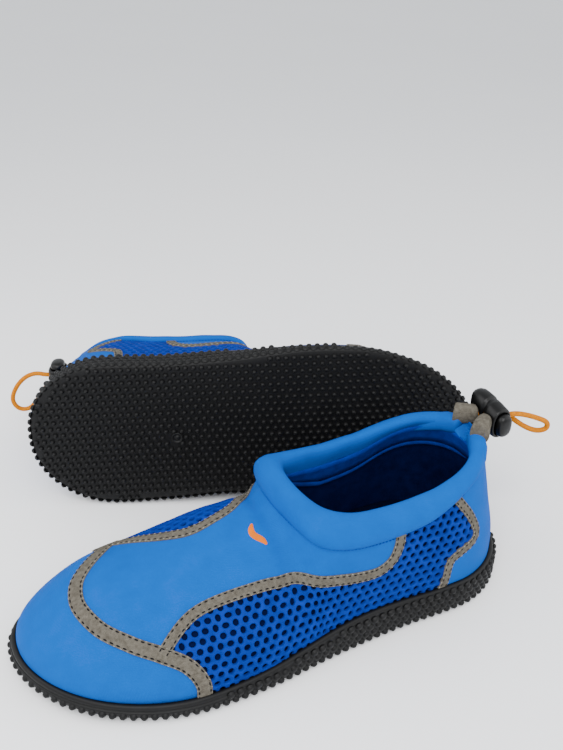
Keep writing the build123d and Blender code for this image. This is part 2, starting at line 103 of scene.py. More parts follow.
# ---- cords and lock; the left loop reaches a little further back than in the part
CORD = 3.0
STRAND_Z, STRAND_END = 87.0, -6.5
LOOPS = {
    "left": [(-6.5, 4, 87), (-10, 4, 87), (-15, 5, 87), (-22, 6.5, 85), (-29.5, 8.8, 82),
             (-34.8, 10.3, 79), (-35.2, 10.4, 74.6), (-30, 8.2, 73), (-23, 5, 76), (-16, 1, 81.5),
             (-11.5, -3.5, 86.5), (-6.5, -4, 87)],
    "right": [(-6.5, 4, 87), (-10, 4, 87), (-17, 5, 88.5), (-25, 2, 89.5), (-32, -5, 89),
              (-36, -14, 87.5), (-32, -21, 86.5), (-24.5, -21.5, 87), (-19, -16, 88),
              (-15, -10, 88.5), (-10.5, -4, 87), (-6.5, -4, 87)],
}
CORD_SIDES = 20


# ================================================================ numbers
def smooth(table, at):
    """Values of the smooth curve through a table's points."""
    xs, ys = np.array(table, float).T
    at = np.asarray(at, float)
    gaps = np.diff(xs)
    rises = np.diff(ys) / gaps
    slopes = np.empty(len(xs))
    slopes[0], slopes[-1] = rises[0], rises[-1]
    slopes[1:-1] = (rises[:-1] * gaps[1:] + rises[1:] * gaps[:-1]) / (gaps[:-1] + gaps[1:])
    i = np.clip(np.searchsorted(xs, at, side="right") - 1, 0, len(gaps) - 1)
    u = np.clip((at - xs[i]) / gaps[i], 0, 1)
    start = ys[i] * (1 + 2 * u) * (1 - u) ** 2 + slopes[i] * gaps[i] * u * (1 - u) ** 2
    end = ys[i + 1] * u * u * (3 - 2 * u) + slopes[i + 1] * gaps[i] * u * u * (u - 1)
    return start + end


def rounded(distance, reach, power):
    t = np.clip(distance / reach, 0, 1)
    return (1 - t**power) ** (1 / power)


def half_width(x, side, grow=0.0):
    """Half width at the widest height, side +1 outer or -1 inner."""
    heel = rounded(HEEL_ROUND - x, HEEL_ROUND + grow, HEEL_POWER)
    toe = rounded(x - TOE_ROUND, UPPER_LENGTH + grow - TOE_ROUND, TOE_POWER)
    base = np.where(np.asarray(side) > 0, smooth(LATERAL_HALF, x), smooth(MEDIAL_HALF, x))
    return (base + grow) * heel * toe


def crest(x, grow=0.0):
    """Height of the ridge of the last."""
    steep = np.clip((INSTEP_START - x) / INSTEP_BLEND, 0, 1)
    toe = rounded(x - TOE_DROP, UPPER_LENGTH + grow - TOE_DROP, TOE_DROP_POWER)
    ridge = smooth(CREST, x - grow * steep) + grow * (1 - steep)
    return WIDEST_HEIGHT + (ridge - WIDEST_HEIGHT) * toe


def forward(station, z):
    """How far the heel's back leans forwards at a height."""
    return smooth(HEEL_CURVE, z) * np.clip(1 - station / HEEL_CURVE_REACH, 0, 1) ** 1.5


def station_of(x, z):
    """The station whose section passes through x at height z."""
    s = np.asarray(x, float) + 0.0
    for _ in range(12):
        s = x - forward(s, z)
    return s


def middle_of(station, t):
    return smooth(MIDDLE, station) + smooth(LEAN, station) * t**1.5


def wall(station, z, side, grow=0.0):
    """Points of the upper at stations and heights."""
    rise = np.maximum(crest(station, grow) - WIDEST_HEIGHT, 1e-6)
    t = np.clip((z - WIDEST_HEIGHT) / rise, 0, 1)
    power, root = FULLNESS[side]
    spread = half_width(station, side, grow) * (1 - t**power) ** (1 / root)
    y = middle_of(station, t) + side * spread
    return np.stack([station + forward(station, z), y, np.broadcast_to(z, np.shape(y))], -1)


def level(p):
    """Below zero inside the last, zero on its surface, above zero outside."""
    x, y, z = p[..., 0], p[..., 1], p[..., 2]
    s = station_of(x, z)
    rise = np.maximum(crest(s) - WIDEST_HEIGHT, 1e-3)
    t = np.maximum((z - WIDEST_HEIGHT) / rise, 0)
    off = y - middle_of(s, np.minimum(t, 1.2))
    width = np.maximum(half_width(s, np.sign(off) + (off == 0)), 1e-3)
    (outer_power, outer_root), (inner_power, inner_root) = FULLNESS[1], FULLNESS[-1]
    outer = (np.abs(off) / width) ** outer_root + t**outer_power
    inner = (np.abs(off) / width) ** inner_root + t**inner_power
    return np.where(off > 0, outer, inner) - 1


def normals(p, step=0.15):
    """Outward directions of the last's surface at points on it."""
    g = np.stack([level(p + d) - level(p - d) for d in np.eye(3) * step], -1)
    return g / np.maximum(np.linalg.norm(g, axis=-1, keepdims=True), 1e-9)


def onto(p, rounds=5, step=0.15):
    """Moves points along the surface's normal until they lie on the last."""
    p = np.array(p, float)
    for _ in range(rounds):
        g = np.stack([level(p + d) - level(p - d) for d in np.eye(3) * step], -1) / (2 * step)
        size = np.maximum((g * g).sum(-1, keepdims=True), 1e-8)
        move = np.clip(level(p)[..., None] * g / size, -3, 3)
        p = p - move
    return p


def roof(x, y):
    """The points of the upper above points of the plan."""
    x, y = np.asarray(x, float), np.asarray(y, float)
    low, high = np.full(x.shape, WIDEST_HEIGHT), crest(x)
    for _ in range(30):
        mid = (low + high) / 2
        outside = level(np.stack([x, y, mid], -1)) > 0
        low, high = np.where(outside, low, mid), np.where(outside, mid, high)
    return np.stack([x, y, (low + high) / 2], -1)


DENSE_STEPS = 24


def dense(points, count):
    """Evenly spaced points on the smooth curve through a few points."""
    p = np.array(points, float)
    q = np.vstack([2 * p[0] - p[1], p, 2 * p[-1] - p[-2]])
    curve = []
    for a, b, c, d in zip(q, q[1:], q[2:], q[3:]):
        u = np.linspace(0, 1, DENSE_STEPS, endpoint=False)[:, None]
        square, cube = 2 * a - 5 * b + 4 * c - d, 3 * b - a - 3 * c + d
        curve.append(0.5 * (2 * b + (c - a) * u + square * u**2 + cube * u**3))
    curve = np.vstack(curve + [p[-1:]])
    run = run_of(curve)
    return along_run(np.linspace(0, run[-1], count), run, curve)


def unit(ways):
    """Directions made one long."""
    return ways / np.linalg.norm(ways, axis=1)[:, None]


def run_of(line):
    """The distance along a line at each of its points."""
    return np.r_[0, np.cumsum(np.linalg.norm(np.diff(line, axis=0), axis=1))]


def along_run(at, run, values):
    """Values of a line's points read at distances along it."""
    return np.stack([np.interp(at, run, values[:, k]) for k in range(values.shape[1])], -1)


def within(outline, points):
    """Which plane points lie inside a closed outline."""
    o = np.array(outline, float)
    inside = np.zeros(len(points), bool)
    for a, b in zip(o, np.roll(o, -1, 0)):
        crosses = (a[1] > points[:, 1]) != (b[1] > points[:, 1])
        run = (b[0] - a[0]) * (points[:, 1] - a[1]) / (b[1] - a[1] + 1e-12) + a[0]
        inside ^= crosses & (points[:, 0] < run)
    return inside


NOISE_WAVES = 7


def noise(p, scale, seed=0):
    """A soft random field from a few waves, the same on every run."""
    rng = np.random.default_rng(seed)
    total = np.zeros(p.shape[:-1])
    for _ in range(NOISE_WAVES):
        way = rng.normal(size=3)
        total += np.sin(p @ (way / scale) + rng.uniform(0, 6.28))
    return total / NOISE_WAVES


# ================================================================ placing
def turn(axis, degrees):
    return np.array(Matrix.Rotation(math.radians(degrees), 3, axis))


RIGHT_TURN = turn("Z", RIGHT_TURNS[2]) @ turn("Y", RIGHT_TURNS[1]) @ turn("X", RIGHT_TURNS[0])


def place(points, shoe):
    """From a shoe's own frame in millimetres to the row's frame in metres."""
    p = np.asarray(points, float)
    if shoe == "right":
        p = (p * (1, -1, 1) - (SHOE_CENTRE, 0, 0)) @ RIGHT_TURN.T + RIGHT_CENTRE
    return (p - ORIGIN) * MM


def piece(name, points, faces, shoe, finish, body="shoe"):
    """A smooth mesh object of one shoe in one material, riding on one of its bodies."""
    mesh = bpy.data.meshes.new(f"{shoe}_{name}")
    if shoe == "right":
        faces = [tuple(reversed(face)) for face in faces]
    mesh.from_pydata(place(points, shoe).tolist(), [], [tuple(map(int, face)) for face in faces])
    mesh.materials.append(finish)
    mesh.polygons.foreach_set("use_smooth", [True] * len(mesh.polygons))
    mesh.validate()
    mesh.update()
    obj = bpy.data.objects.new(f"{shoe}_{name}", mesh)
    bpy.context.scene.collection.objects.link(obj)
    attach(obj, f"{shoe}_{body}")
    return obj


def weld(obj, distance=0.02):
    """Joins points that lie on each other."""
    work = bmesh.new()
    work.from_mesh(obj.data)
    bmesh.ops.remove_doubles(work, verts=work.verts, dist=distance * MM)
    work.to_mesh(obj.data)
    work.free()


def thicken(obj, thickness, offset=-1.0):
    """Gives a sheet its thickness, inwards unless the offset is +1."""
    modifier = obj.modifiers.new("thickness", "SOLIDIFY")
    modifier.thickness = thickness * MM
    modifier.offset = offset


def grid_faces(rows, columns, closed=False):
    """Quads of a grid of points, row by row."""
    last = columns if closed else columns - 1
    faces = []
    for i in range(rows - 1):
        for j in range(last):
            k = (j + 1) % columns
            low, high = i * columns, (i + 1) * columns
            faces.append((low + j, low + k, high + k, high + j))
    return faces


# ================================================================ camera, floor and light
CAMERA_DISTANCE = 480.0
CAMERA_YAW = 207.8
CAMERA_PITCH = math.radians(30.2)
CAMERA_ROLL = math.radians(-1.93)
CAMERA_SHIFT = (7.1, -124.7)
LENS, SENSOR = 42.5, 36.0


def make_camera():
    """The camera looks down at the pair from the left shoe's outer, front side."""
    ahead = np.array([0, math.cos(CAMERA_PITCH), -math.sin(CAMERA_PITCH)])
    across = np.array([1.0, 0, 0])
    down = np.cross(ahead, across)
    c, s = math.cos(CAMERA_ROLL), math.sin(CAMERA_ROLL)
    right, low = c * across + s * down, -s * across + c * down
    eye = -CAMERA_DISTANCE * ahead + CAMERA_SHIFT[0] * right + CAMERA_SHIFT[1] * low
    back_turn = turn("Z", -CAMERA_YAW)
    eye = place(back_turn @ eye + (SHOE_CENTRE, 0, 0), "left")
    matrix = Matrix.Identity(4)
    for column, way in enumerate((right, -low, -ahead)):
        matrix.col[column][:3] = back_turn @ way
    matrix.col[3][:3] = eye
    data = bpy.data.cameras.new("camera")
    data.lens = LENS
    data.sensor_width = SENSOR
    camera = bpy.data.objects.new("camera", data)
    camera.matrix_world = matrix
    bpy.context.scene.collection.objects.link(camera)
    bpy.context.scene.camera = camera


def lamp(name, spot, target, size, power):
    """A soft area light, its place and target in the left shoe's frame."""
    data = bpy.data.lights.new(name, "AREA")
    data.size = size
    data.energy = power
    obj = bpy.data.objects.new(name, data)
    obj.location = place(spot, "left")
    aim = Vector(place(target, "left")) - obj.location
    obj.rotation_euler = aim.to_track_quat("-Z", "Y").to_euler()
    bpy.context.scene.collection.objects.link(obj)


make_camera()


# ================================================================ materials
def material(name):
    """A node material with its shader and a coordinate in the object's own space."""
    made = bpy.data.materials.new(name)
    made.use_nodes = True
    nodes = made.node_tree.nodes
    shader = nodes["Principled BSDF"]
    spot = nodes.new("ShaderNodeTexCoord").outputs["Object"]
    return made, made.node_tree, shader, spot


def add_node(tree, kind, **inputs):
    node = tree.nodes.new(kind)
    for key, value in inputs.items():
        node.inputs[key].default_value = value
    return node


def noise_node(tree, spot, scale, detail=2.0, rough=0.5):
    node = add_node(tree, "ShaderNodeTexNoise", Scale=scale, Detail=detail, Roughness=rough)
    tree.links.new(spot, node.inputs["Vector"])
    return node.outputs["Fac"]


def ramp(tree, value, stops):
    """A colour ramp from (position, colour) stops."""
    node = tree.nodes.new("ShaderNodeValToRGB")
    elements = node.color_ramp.elements
    while len(elements) < len(stops):
        elements.new(0.5)
    for element, (where, colour) in zip(elements, stops):
        element.position = where
        element.color = (*colour, 1.0)
    tree.links.new(value, node.inputs["Fac"])
    return node.outputs["Color"]


def bump(tree, shader, height, strength, distance):
    node = add_node(tree, "ShaderNodeBump", Strength=strength, Distance=distance)
    tree.links.new(height, node.inputs["Height"])
    previous = shader.inputs["Normal"].links
    if previous:
        tree.links.new(previous[0].from_socket, node.inputs["Normal"])
    tree.links.new(node.outputs["Normal"], shader.inputs["Normal"])


# the scale at which a wave texture has one band in a metre
WAVE_SCALE = 0.314
CLOTH_GLOSS, MOULDED_GLOSS = 0.06, 0.22
FUZZ_SCALE = 900.0


def knit(tree, spot, pitch):
    """A fine knit: two crossed sets of ribs at a pitch in metres."""
    ribs = []
    for way in ("X", "Y", "Z"):
        node = tree.nodes.new("ShaderNodeTexWave")
        node.wave_type = "BANDS"
        node.bands_direction = way
        node.inputs["Scale"].default_value = WAVE_SCALE / pitch
        node.inputs["Distortion"].default_value = 1.5
        node.inputs["Detail"].default_value = 1.0
        tree.links.new(spot, node.inputs["Vector"])
        ribs.append(node.outputs["Fac"])
    first = tree.nodes.new("ShaderNodeMath")
    first.operation = "MULTIPLY"
    second = tree.nodes.new("ShaderNodeMath")
    second.operation = "ADD"
    tree.links.new(ribs[0], first.inputs[0])
    tree.links.new(ribs[1], first.inputs[1])
    tree.links.new(first.outputs[0], second.inputs[0])
    tree.links.new(ribs[2], second.inputs[1])
    return second.outputs[0]


def fabric(name, dark, light, roughness, pitch, depth, sheen=0.0, mottle=180.0):
    """Knitted or woven cloth: two tones, a knit at its own pitch, and a soft sheen."""
    made, tree, shader, spot = material(name)
    tone = noise_node(tree, spot, mottle, 4.0, 0.6)
    tree.links.new(ramp(tree, tone, [(0.3, dark), (0.7, light)]), shader.inputs["Base Color"])
    shader.inputs["Roughness"].default_value = roughness
    shader.inputs["Specular IOR Level"].default_value = CLOTH_GLOSS
    shader.inputs["Sheen Weight"].default_value = sheen
    shader.inputs["Sheen Roughness"].default_value = 0.4
    shader.inputs["Sheen Tint"].default_value = (*light, 1.0)
    bump(tree, shader, knit(tree, spot, pitch), 0.35, depth)
    bump(tree, shader, noise_node(tree, spot, FUZZ_SCALE, 3.0, 0.6), 0.25, depth)
    return made


def moulded(name, dark, light, low_rough, high_rough, grain, depth):
    """Moulded rubber or plastic: nearly one tone, uneven gloss and a fine grain."""
    made, tree, shader, spot = material(name)
    tone = noise_node(tree, spot, 60.0, 3.0, 0.6)
    tree.links.new(ramp(tree, tone, [(0.3, dark), (0.75, light)]), shader.inputs["Base Color"])
    shade = tree.nodes.new("ShaderNodeMapRange")
    shade.inputs["To Min"].default_value = low_rough
    shade.inputs["To Max"].default_value = high_rough
    tree.links.new(noise_node(tree, spot, 140.0, 4.0, 0.6), shade.inputs["Value"])
    tree.links.new(shade.outputs["Result"], shader.inputs["Roughness"])
    shader.inputs["Specular IOR Level"].default_value = MOULDED_GLOSS
    bump(tree, shader, noise_node(tree, spot, grain, 3.0, 0.6), 0.3, depth)
    return made


NEOPRENE = fabric("neoprene", (0.0, 0.064, 0.31), (0.0, 0.072, 0.35), 0.75, 0.0006, 0.00012,
                  mottle=90.0)
MESH = fabric("air mesh", (0.002, 0.016, 0.16), (0.004, 0.028, 0.25), 0.75, 0.0007, 0.0002)
FACING = fabric("collar facing", (0.0008, 0.016, 0.17), (0.002, 0.03, 0.27), 0.7, 0.0007, 0.0002,
                sheen=0.03)
LINING = fabric("dark lining", (0.0006, 0.0025, 0.026), (0.0012, 0.005, 0.048), 0.8, 0.0008,
                0.0002)
INSOLE = fabric("insole cloth", (0.0006, 0.0014, 0.01), (0.0014, 0.003, 0.02), 0.8, 0.0008,
                0.0002)
TAPE = fabric("grey tape", (0.058, 0.051, 0.04), (0.115, 0.104, 0.084), 0.75, 0.0009, 0.00025,
              sheen=0.02, mottle=500.0)
THREAD = fabric("stitch thread", (0.13, 0.12, 0.1), (0.26, 0.24, 0.2), 0.6, 0.0004, 0.0001,
                sheen=0.02, mottle=700.0)
# near-black dots painted as the shade inside the tapes' needle holes
NEEDLE_SHADE_FINISH = fabric("needle hole painted shade", (0.004, 0.004, 0.005), (0.009, 0.008, 0.009), 0.9, 0.0005,
                     0.0001)
PRINT = fabric("print", (0.5, 0.1, 0.0), (0.6, 0.13, 0.0), 0.5, 0.0006, 0.00005)
ELASTIC = fabric("elastic cord", (0.36, 0.1, 0.0), (0.52, 0.17, 0.0), 0.65, 0.0009, 0.0004,
                 mottle=900.0)
RUBBER = moulded("sole rubber", (0.0008, 0.0008, 0.0009), (0.0018, 0.0017, 0.0019), 0.45, 0.65,
                 1400.0, 0.00006)
PLASTIC = moulded("lock plastic", (0.0012, 0.0012, 0.0012), (0.003, 0.003, 0.003), 0.28, 0.42,
                  1800.0, 0.00003)
STEEL = moulded("spring steel", (0.4, 0.4, 0.42), (0.55, 0.55, 0.57), 0.2, 0.35, 900.0, 0.00002)


# ================================================================ cords
def curve_object(name, points, shoe):
    """One smooth open spline with no thickness."""
    data = bpy.data.curves.new(f"{shoe}_{name}", "CURVE")
    data.dimensions = "3D"
    data.resolution_u = 10
    spline = data.splines.new("NURBS")
    spline.points.add(len(points) - 1)
    for point, spot in zip(spline.points, place(points, shoe)):
        point.co = (*spot, 1.0)
    spline.order_u = 3
    spline.use_endpoint_u = True
    obj = bpy.data.objects.new(f"{shoe}_{name}", data)
    bpy.context.scene.collection.objects.link(obj)
    return obj


def cord_loop(shoe):
    """The free loop of the elastic cord behind the lock; it rides on the lock and keeps its shape
    as the lock slides.
    """
    route = curve_object("route", LOOPS[shoe], shoe)
    depsgraph = bpy.context.evaluated_depsgraph_get()
    line = bpy.data.meshes.new_from_object(route.evaluated_get(depsgraph))
    path = np.array([vertex.co for vertex in line.vertices])
    bpy.data.objects.remove(route)
    bpy.data.meshes.remove(line)
    way = unit(np.gradient(path, axis=0))
    across = np.cross(way[0], (0.0, 0.0, 1.0))
    radius, points = CORD / 2 * MM, []
    for spot, along in zip(path, way):
        across = across - along * (across @ along)
        across = across / np.linalg.norm(across)
        third = np.cross(along, across)
        for k in range(CORD_SIDES):
            angle = 2 * math.pi * k / CORD_SIDES
            points.append(spot + radius * (math.cos(angle) * across + math.sin(angle) * third))
    faces = grid_faces(len(path), CORD_SIDES, True)
    mesh = bpy.data.meshes.new(f"{shoe}_elastic_loop")
    mesh.from_pydata([tuple(p) for p in points], [], faces)
    mesh.materials.append(ELASTIC)
    mesh.polygons.foreach_set("use_smooth", [True] * len(mesh.polygons))
    obj = bpy.data.objects.new(f"{shoe}_elastic_loop", mesh)
    bpy.context.scene.collection.objects.link(obj)
    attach(obj, f"{shoe}_lock")
    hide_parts(f"{shoe}_cord_loop")
    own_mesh(obj)


# ================================================================ upper
STATIONS = UPPER_LENGTH * (1 - np.cos(np.linspace(0, math.pi, 260))) / 2
SECTION_STEPS = 64
BELOW = 7.0
MESH_PITCH = 5.0
MESH_HOLE = 1.55
MESH_DIRECTIONS = 12
MESH_SPAN = (8, 226, 219)
MESH_TUCK = 1.1
RIPPLE, RIPPLE_LENGTH = 0.35, 16.0
NEOPRENE_THICKNESS, CLOTH_THICKNESS, FOOTBED_THICKNESS = 1.6, 0.8, 1.2
LINING_INSET = -2.4


def half_section(stations, side, grow=0.0, steps=SECTION_STEPS):
    """Points of one side of the upper, a row for each station, from the bottom up to the ridge."""
    power, root = FULLNESS[side]
    angle = np.linspace(0, math.pi / 2, steps)[None, :]
    s = stations[:, None]
    t = np.sin(angle) ** (2 / power)
    z = WIDEST_HEIGHT + (crest(s, grow) - WIDEST_HEIGHT) * t
    y = middle_of(s, t) + side * half_width(s, side, grow) * np.cos(angle) ** (2 / root)
    body = np.stack([s + forward(s, z), y, z], -1)
    foot = body[:, :1].copy()
    foot[..., 2] = BELOW
    return np.concatenate([foot, body], 1)


def whole_section(stations, grow=0.0, steps=SECTION_STEPS):
    """Points of the upper from the outer side over the ridge to the inner side."""
    outer = half_section(stations, 1, grow, steps)
    inner = half_section(stations, -1, grow, steps)
    return np.concatenate([outer, inner[:, -2::-1]], 1)


def panels_of(p):
    """The panel each point of the upper belongs to."""
    side_view, plan = p[:, [0, 2]], p[:, :2]
    station = station_of(p[:, 0], p[:, 2])
    rise = np.maximum(crest(station) - WIDEST_HEIGHT, 1e-3)
    outer = p[:, 1] > middle_of(station, np.clip((p[:, 2] - WIDEST_HEIGHT) / rise, 0, 1))
    names = np.full(len(p), "vamp_panel", dtype=object)
    lateral = within(LATERAL_SEAM + LATERAL_CLOSE, side_view) & outer
    medial = within(MEDIAL_SEAM_SIDE + MEDIAL_CLOSE, side_view) & ~outer
    medial |= within(MEDIAL_SEAM_PLAN + MEDIAL_PLAN_CLOSE, plan) & ~outer
    names[lateral] = "mesh_lateral"
    names[medial] = "mesh_medial"
    names[within(HEEL_SEAM + HEEL_CLOSE, side_view)] = "heel_panel"
    names[within(TOE_OUTLINE, plan)] = "toe_panel"
    names[p[:, 2] > smooth(COLLAR_SEAM, p[:, 0]) + COLLAR_OVERLAP] = ""
    return names


def solid_panels(shoe):
    """The neoprene panels, cut from one smooth surface under the tapes and the collar."""
    grid = whole_section(STATIONS)
    rows, columns = grid.shape[:2]
    points = grid.reshape(-1, 3)
    soften = RIPPLE * noise(points, RIPPLE_LENGTH, 4)
    lift = np.clip((points[:, 2] - 14) / 8, 0, 1)
    points = points + normals(points) * (soften * lift)[:, None]
    faces = np.array(grid_faces(rows, columns))
    names = panels_of(points[faces].mean(1))
    for name in ("toe_panel", "vamp_panel", "heel_panel"):
        chosen = faces[names == name]
        used, index = np.unique(chosen, return_inverse=True)
        obj = piece(name + "_skin", points[used], index.reshape(-1, 4).tolist(), shoe, NEOPRENE)
        weld(obj)
        thicken(obj, NEOPRENE_THICKNESS)
        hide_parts(f"{shoe}_{name}")


def air_mesh(shoe, side):
    """A knitted air mesh panel: a hexagonal field of real round holes that follows the upper."""
    name = "mesh_lateral" if side > 0 else "mesh_medial"
    stations = np.linspace(*MESH_SPAN)
    grid = half_section(stations, side)
    up = np.linalg.norm(np.diff(grid, axis=1), axis=2)
    height = np.concatenate([np.zeros((len(grid), 1)), np.cumsum(up, 1)], 1)
    waist = grid[:, SECTION_STEPS // 4]
    along = run_of(waist)

    def at(u, v):
        """The point of the upper a distance along the shoe and a distance up its side."""
        k = np.clip(np.interp(u, along, np.arange(len(along))), 0, len(along) - 1.001)
        low = k.astype(int)
        mixed = []
        for row in (low, low + 1):
            mixed.append(np.array([[np.interp(b, height[r], grid[r, :, axis]) for axis in range(3)]
                                   for r, b in zip(row, v)]))
        share = (k - low)[:, None]
        return mixed[0] * (1 - share) + mixed[1] * share

    step = MESH_PITCH * math.sqrt(3) / 2
    centres = []
    for j in range(int(height.max() / step)):
        shift = MESH_PITCH / 2 if j % 2 else 0.0
        for i in range(int(along[-1] / MESH_PITCH)):
            centres.append((i * MESH_PITCH + shift, (j + 0.5) * step))
    centres = np.array(centres)
    spots = at(centres[:, 0], centres[:, 1])
    keep = np.zeros(len(spots), bool)
    for dx, dz in ((0, 0), (2.2, 0), (-2.2, 0), (0, 2.2), (0, -2.2)):
        near = spots + (dx, 0, dz)
        near[:, 2] = np.minimum(near[:, 2], smooth(COLLAR_SEAM, near[:, 0]) + 2.0)
        keep |= panels_of(near) == name
    keep &= spots[:, 2] < smooth(COLLAR_SEAM, spots[:, 0]) + 3.0
    centres = centres[keep]
    angles = np.radians(np.arange(MESH_DIRECTIONS) * 360 / MESH_DIRECTIONS)
    edge = (MESH_PITCH / 2) / np.cos((angles + math.pi / 6) % (math.pi / 3) - math.pi / 6)
    rings = [(edge, 0.15), (np.full_like(edge, 1.95), 0.3), (np.full_like(edge, 1.68), 0.05),
             (np.full_like(edge, MESH_HOLE), -0.4), (np.full_like(edge, MESH_HOLE), -1.4)]
    flat, lifts = [], []
    for radius, lift in rings:
        offsets = np.stack([radius * np.cos(angles), radius * np.sin(angles)], -1)
        if radius is not edge:
            wave = 1 + 0.09 * np.sin(centres @ (1.7, 0.9)) + 0.07 * np.sin(centres @ (-0.6, 2.3))
            offsets = offsets[None] * np.stack([wave, 2 - wave], -1)[:, None, :]
        flat.append(centres[:, None, :] + offsets)
        lifts.append(np.full((len(centres), MESH_DIRECTIONS), lift))
    flat, lifts = np.stack(flat, 1).reshape(-1, 2), np.stack(lifts, 1).reshape(-1)
    points = at(flat[:, 0], flat[:, 1])
    tucked = MESH_TUCK * (panels_of(points) != name)
    points = points + normals(points) * (lifts - tucked)[:, None]
    faces = []
    for tile in range(len(centres)):
        start = tile * len(rings) * MESH_DIRECTIONS
        for r in range(len(rings) - 1):
            for k in range(MESH_DIRECTIONS):
                n = (k + 1) % MESH_DIRECTIONS
                a, b = start + r * MESH_DIRECTIONS, start + (r + 1) * MESH_DIRECTIONS
                face = (a + k, a + n, b + n, b + k)
                faces.append(face if side < 0 else face[::-1])
    obj = piece(name + "_net", points, faces, shoe, MESH)
    weld(obj, 0.03)
    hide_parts(f"{shoe}_{name}")


def lining(shoe):
    """The dark cloth inside the upper, seen through the mesh and the mouth."""
    grid = whole_section(STATIONS[4:-4], LINING_INSET, 40)
    rows, columns = grid.shape[:2]
    points = grid.reshape(-1, 3)
    faces = np.array(grid_faces(rows, columns))
    middle = points[faces].mean(1)
    faces = faces[middle[:, 2] < smooth(COLLAR_SEAM, middle[:, 0]) + 1.0]
    used, index = np.unique(faces, return_inverse=True)
    obj = piece("lining_cloth", points[used], index.reshape(-1, 4).tolist(), shoe, LINING)
    weld(obj)
    thicken(obj, CLOTH_THICKNESS)
    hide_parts(f"{shoe}_lining")


def footbed(shoe, name, z, grow, finish):
    """A flat inner sole, slightly dished, with a rounded edge."""
    s = -grow + (UPPER_LENGTH + 2 * grow) * (1 - np.cos(np.linspace(0, math.pi, 120))) / 2
    rows = []
    for share in (1.0, 0.985, 0.93, 0.7, 0.35, 0.0, -0.35, -0.7, -0.93, -0.985, -1.0):
        side = 1 if share >= 0 else -1
        y = middle_of(s, 0 * s) + share * half_width(s, np.full_like(s, side), grow)
        dish = -0.9 * (abs(share) >= 0.98) + 0.7 * share**2 * (abs(share) < 0.98)
        rows.append(np.stack([s + forward(s, z), y, np.full_like(s, z + dish)], -1))
    grid = np.stack(rows)
    faces = [face[::-1] for face in grid_faces(len(rows), len(s))]
    obj = piece(name + "_cloth", grid.reshape(-1, 3), faces, shoe, finish)
    weld(obj)
    thicken(obj, FOOTBED_THICKNESS)
    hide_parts(f"{shoe}_{name}")


# ================================================================ tapes and stitches
TOE_TAPE, SIDE_TAPE, HEEL_TAPE = 7.6, 5.9, 5.1
TAPE_HEIGHT = 0.9
STITCH_PITCH = 3.3
# the first sizes are of the dark dots of painted needle-hole shade, the second of the thread ends
NEEDLE_SHADE_DOT, THREAD_END = (2.1, 0.85, 0.1), (1.3, 0.5, 0.3)
PAD_SIDES, STUD_SIDES = 10, 10


def dome_faces(count, rings, sides):
    """Faces of many small domes, each of a few rings with a cap on the last."""
    faces = []
    for i in range(count):
        start = i * rings * sides
        for r in range(rings - 1):
            a, b = start + r * sides, start + (r + 1) * sides
            for k in range(sides):
                n = (k + 1) % sides
                faces.append((a + k, a + n, b + n, b + k))
        faces.append(tuple(start + (rings - 1) * sides + k for k in range(sides)))
    return faces


def pads(centres, along, normal, length, width, height):
    """Small domed capsules lying on a surface: stitches, thread ends and dots of painted
    needle-hole shade.
    """
    across = unit(np.cross(normal, along))
    profile = ((1.0, -0.15), (0.72, 0.6), (0.3, 1.0))
    points = []
    for ring_size, lift in profile:
        for k in range(PAD_SIDES):
            angle = 2 * math.pi * k / PAD_SIDES
            u = math.cos(angle) * length / 2 * ring_size
            v = math.sin(angle) * width / 2 * ring_size
            points.append(centres + along * u + across * v + normal * height * lift)
    points = np.stack(points, 1).reshape(-1, 3)
    return points, dome_faces(len(centres), len(profile), PAD_SIDES)


def side_path(seam, side):
    """A seam of the side view laid on the upper."""
    line = dense(seam, 400)
    x, z = line.T
    line = line[(z < smooth(COLLAR_SEAM, x) + 3) & (z > BELOW)]
    x, z = line.T
    path = wall(station_of(x, z), z, side)
    return path[~within(TOE_OUTLINE, path[:, :2])]


def plan_path(seam, sides=(1, -1)):
    """A seam of the plan view laid on the upper, ending down the walls."""
    line = dense(seam, 900)
    p = roof(line[:, 0], line[:, 1])
    p = p[p[:, 2] > WIDEST_HEIGHT + 1.5]
    ends = []
    for side, spot in ((1, p[0]), (-1, p[-1])):
        z = np.linspace(spot[2] - 1, BELOW, 24)
        down = wall(np.full_like(z, spot[0]), z, side)
        down[:, 0] = spot[0]
        ends.append(down if side in sides else down[:0])
    return np.vstack([ends[0][::-1], p, ends[1]])


def ribbon(name, path, width, height, shoe, finish, taper=0.0):
    """A flat tape with a slightly crowned face that follows the upper along a path."""
    path = dense(path[:: max(1, len(path) // 60)], 260)
    path = onto(path)
    way = unit(np.gradient(path, axis=0))
    across = unit(np.cross(normals(path), way))
    narrow = 1 - taper * np.abs(2 * np.linspace(0, 1, len(path)) - 1) ** 3
    rows = []
    for share, lift in ((-1, -0.4), (-1, 0.55), (-0.9, 0.9), (-0.55, 1.0), (0, 1.0), (0.55, 1.0),
                        (0.9, 0.9), (1, 0.55), (1, -0.4)):
        spot = onto(path + across * (share * width / 2 * narrow)[:, None], 3)
        rows.append(spot + normals(spot) * height * lift)
    points = np.stack(rows).reshape(-1, 3)
    obj = piece(name, points, grid_faces(len(rows), len(path)), shoe, finish)
    return obj, path, across, way


